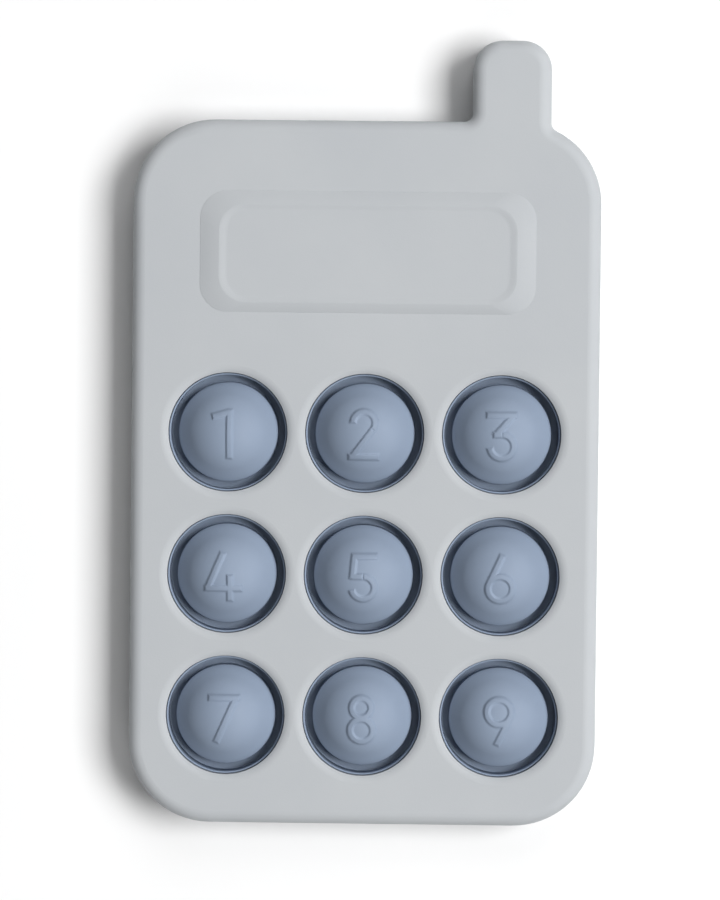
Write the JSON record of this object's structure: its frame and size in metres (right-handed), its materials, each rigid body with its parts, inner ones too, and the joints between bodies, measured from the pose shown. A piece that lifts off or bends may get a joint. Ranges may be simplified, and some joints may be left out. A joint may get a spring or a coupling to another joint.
{
  "type": "toy cell phone",
  "caption": "Flat toy cell phone with a stub antenna, a blank raised screen and a keypad of numbered silicone domes that press through the housing.",
  "frame": {"origin": "centre of the bounding box at its bottom, on the plane the back rests on", "axes": "+X to the right seen from the front, +Y towards the antenna, +Z out of the face"},
  "size_m": [0.08, 0.1344, 0.0137],
  "materials": {
    "shell_plastic": "matt, very fine moulded grain, light cool grey",
    "silicone_blue": "smooth satin silicone, dusty slate blue"
  },
  "bodies": {
    "housing": {"front_cover": "shell_plastic", "back_cover": "shell_plastic", "membrane": "silicone_blue", "dome_1_skirt": "silicone_blue", "dome_2_skirt": "silicone_blue", "dome_3_skirt": "silicone_blue", "dome_4_skirt": "silicone_blue", "dome_5_skirt": "silicone_blue", "dome_6_skirt": "silicone_blue", "dome_7_skirt": "silicone_blue", "dome_8_skirt": "silicone_blue", "dome_9_skirt": "silicone_blue"},
    "dome_1": {"dome_1_crown": "silicone_blue"},
    "dome_2": {"dome_2_crown": "silicone_blue"},
    "dome_3": {"dome_3_crown": "silicone_blue"},
    "dome_4": {"dome_4_crown": "silicone_blue"},
    "dome_5": {"dome_5_crown": "silicone_blue"},
    "dome_6": {"dome_6_crown": "silicone_blue"},
    "dome_7": {"dome_7_crown": "silicone_blue"},
    "dome_8": {"dome_8_crown": "silicone_blue"},
    "dome_9": {"dome_9_crown": "silicone_blue"}
  },
  "joints": [
    {"name": "dome_1_press", "type": "slide", "parent": "housing", "child": "dome_1", "axis": [0, 0, -1], "range_m": [0, 0.01], "deforming": ["dome_1_skirt"]},
    {"name": "dome_2_press", "type": "slide", "parent": "housing", "child": "dome_2", "axis": [0, 0, -1], "range_m": [0, 0.01], "deforming": ["dome_2_skirt"]},
    {"name": "dome_3_press", "type": "slide", "parent": "housing", "child": "dome_3", "axis": [0, 0, -1], "range_m": [0, 0.01], "deforming": ["dome_3_skirt"]},
    {"name": "dome_4_press", "type": "slide", "parent": "housing", "child": "dome_4", "axis": [0, 0, -1], "range_m": [0, 0.01], "deforming": ["dome_4_skirt"]},
    {"name": "dome_5_press", "type": "slide", "parent": "housing", "child": "dome_5", "axis": [0, 0, -1], "range_m": [0, 0.01], "deforming": ["dome_5_skirt"]},
    {"name": "dome_6_press", "type": "slide", "parent": "housing", "child": "dome_6", "axis": [0, 0, -1], "range_m": [0, 0.01], "deforming": ["dome_6_skirt"]},
    {"name": "dome_7_press", "type": "slide", "parent": "housing", "child": "dome_7", "axis": [0, 0, -1], "range_m": [0, 0.01], "deforming": ["dome_7_skirt"]},
    {"name": "dome_8_press", "type": "slide", "parent": "housing", "child": "dome_8", "axis": [0, 0, -1], "range_m": [0, 0.01], "deforming": ["dome_8_skirt"]},
    {"name": "dome_9_press", "type": "slide", "parent": "housing", "child": "dome_9", "axis": [0, 0, -1], "range_m": [0, 0.01], "deforming": ["dome_9_skirt"]}
  ]
}
